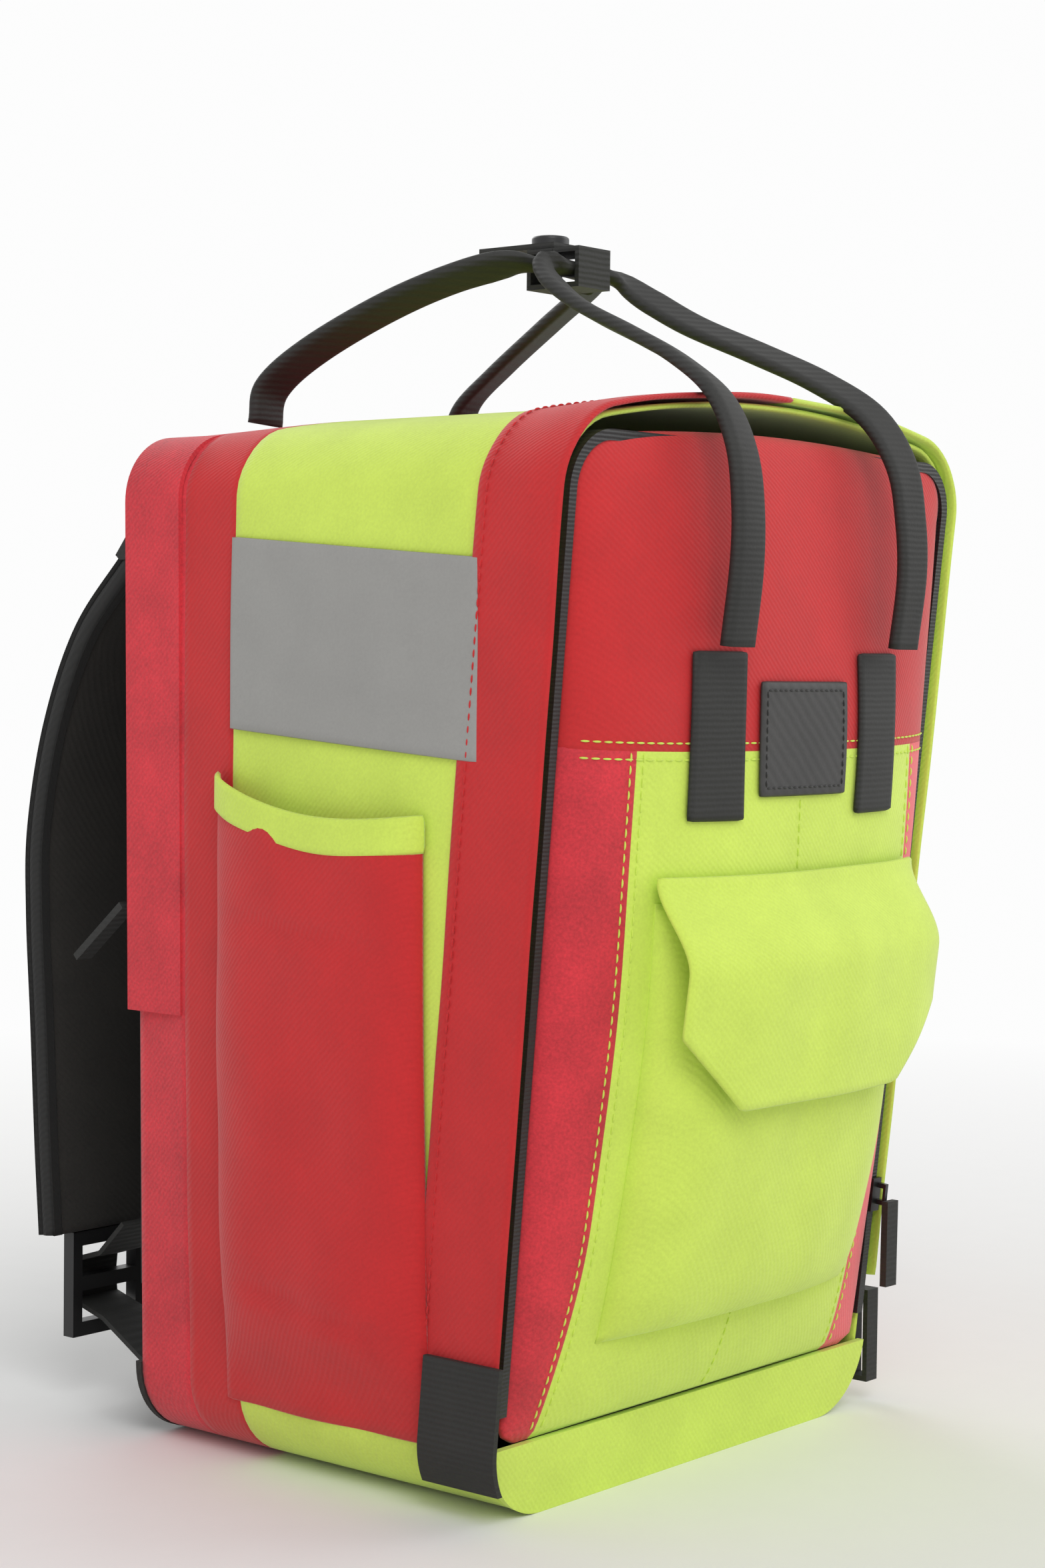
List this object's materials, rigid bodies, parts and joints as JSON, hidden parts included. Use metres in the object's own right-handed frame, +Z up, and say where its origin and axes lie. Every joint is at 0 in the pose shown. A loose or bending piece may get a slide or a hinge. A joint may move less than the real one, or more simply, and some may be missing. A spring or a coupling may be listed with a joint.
{
  "type": "trauma backpack",
  "caption": "Box-shaped rescue backpack of high-visibility cloth with opening front panel, cargo and side pockets, two carrying handles and padded shoulder straps.",
  "frame": {"origin": "middle of the flat base that the bag stands on", "axes": "+Z up the bag, -Y out of the front panel, +X to the right for someone facing the front panel"},
  "size_m": [0.2718, 0.3283, 0.4813],
  "materials": {
    "yellow_twill": "satin twill",
    "bright_red_twill": "satin twill",
    "crimson_twill": "heathered twill",
    "reflective_tape": "retroreflective",
    "black_webbing": "woven",
    "strap_padding": "matt mesh",
    "binding_tape": "ribbed",
    "black_plastic": "moulded",
    "zip_coil": "coil",
    "leather_patch": "grained",
    "back_foam": "closed-cell foam",
    "bottom_board": "matt sheet"
  },
  "bodies": {
    "root": {"gusset_bottom": "yellow_twill", "gusset_top": "yellow_twill", "gusset_left": "yellow_twill", "gusset_right": "yellow_twill", "red_band": "bright_red_twill", "back_band": "crimson_twill", "front_foot": "crimson_twill", "bottom_board": "bottom_board", "back_panel": "yellow_twill", "back_foam": "back_foam", "back_zip_chain": "zip_coil", "back_storm_flap": "crimson_twill", "front_zip_chain": "zip_coil", "storm_flap_red": "bright_red_twill", "storm_flap_yellow": "yellow_twill", "end_tab_left": "black_webbing", "end_loop_right": "black_webbing", "side_tape_left": "reflective_tape", "side_tape_right": "reflective_tape", "top_tape": "reflective_tape", "side_pocket_body_left": "bright_red_twill", "side_pocket_hem_left": "yellow_twill", "side_pocket_body_right": "bright_red_twill", "side_pocket_hem_right": "yellow_twill", "back_handle_anchor_left": "black_webbing", "back_handle_anchor_right": "black_webbing", "strap_anchor_upper_left": "strap_padding", "strap_anchor_upper_right": "strap_padding", "strap_anchor_lower_left": "black_webbing", "strap_anchor_lower_right": "black_webbing"},
    "front_panel": {"panel_upper": "crimson_twill", "panel_left_strip": "crimson_twill", "panel_centre": "yellow_twill", "panel_right_strip": "crimson_twill", "label_patch": "leather_patch", "handle_tab_left": "black_webbing", "handle_tab_right": "black_webbing", "cargo_pocket": "yellow_twill"},
    "cargo_flap": {"cargo_flap": "yellow_twill"},
    "front_handle": {"front_handle": "black_webbing", "wrap_front": "black_webbing"},
    "back_handle": {"back_handle": "black_webbing", "wrap_back": "black_webbing", "snap_stud": "black_plastic"},
    "snap_tab": {"snap_tab": "black_webbing", "snap_cap": "black_plastic"},
    "main_slider": {"main_slider": "black_plastic"},
    "main_pull": {"main_pull": "black_webbing"},
    "back_slider": {"back_slider": "black_plastic"},
    "back_pull": {"back_pull": "black_webbing"},
    "strap_left": {"strap_pad_left": "strap_padding", "strap_binding_left": "binding_tape", "strap_face_web_left": "black_webbing", "ladder_lock_left": "black_plastic", "strap_web_lower_left": "black_webbing"},
    "strap_right": {"strap_pad_right": "strap_padding", "strap_binding_right": "binding_tape", "strap_face_web_right": "black_webbing", "ladder_lock_right": "black_plastic", "strap_web_lower_right": "black_webbing"}
  },
  "joints": [
    {"name": "front_panel_opens", "type": "hinge", "parent": "root", "child": "front_panel", "pos_m": [0, -0.07609, 0.0276], "axis": [1, 0, 0], "range_deg": [0, 80]},
    {"name": "cargo_flap_lifts", "type": "hinge", "parent": "front_panel", "child": "cargo_flap", "pos_m": [0, -0.11853, 0.23455], "axis": [-1, 0, 0], "range_deg": [0, 110]},
    {"name": "front_handle_folds", "type": "hinge", "parent": "front_panel", "child": "front_handle", "pos_m": [0, -0.12933, 0.31791], "axis": [1, 0, 0], "range_deg": [0, 60]},
    {"name": "back_handle_folds", "type": "hinge", "parent": "root", "child": "back_handle", "pos_m": [0, 0.102, 0.406], "axis": [-1, 0, 0], "range_deg": [0, 85]},
    {"name": "snap_tab_lifts", "type": "hinge", "parent": "back_handle", "child": "snap_tab", "pos_m": [0, -0.00585, 0.4753], "axis": [1, 0, 0], "range_deg": [0, 95]},
    {"name": "main_zip_slides", "type": "slide", "parent": "root", "child": "main_slider", "axis": [0.0151, -0.093, 0.9956], "range_m": [0, 0.25]},
    {"name": "main_pull_swings", "type": "hinge", "parent": "main_slider", "child": "main_pull", "pos_m": [0.11833, -0.08928, 0.08704], "axis": [-0.9999, -0.0014, 0.015], "range_deg": [0, 150]},
    {"name": "back_zip_slides", "type": "slide", "parent": "root", "child": "back_slider", "axis": [-0.0152, 0, 0.9999], "range_m": [0, 0.14]},
    {"name": "back_pull_swings", "type": "hinge", "parent": "back_slider", "child": "back_pull", "pos_m": [-0.12021, 0.1186, 0.21205], "axis": [0.9999, 0, 0.0152], "range_deg": [-50, 100]},
    {"name": "strap_left_swings", "type": "hinge", "parent": "root", "child": "strap_left", "pos_m": [-0.082, 0.122, 0], "axis": [0, 0, 1], "range_deg": [-18, 18]},
    {"name": "strap_right_swings", "type": "hinge", "parent": "root", "child": "strap_right", "pos_m": [0.082, 0.122, 0], "axis": [0, 0, 1], "range_deg": [-18, 18]}
  ]
}
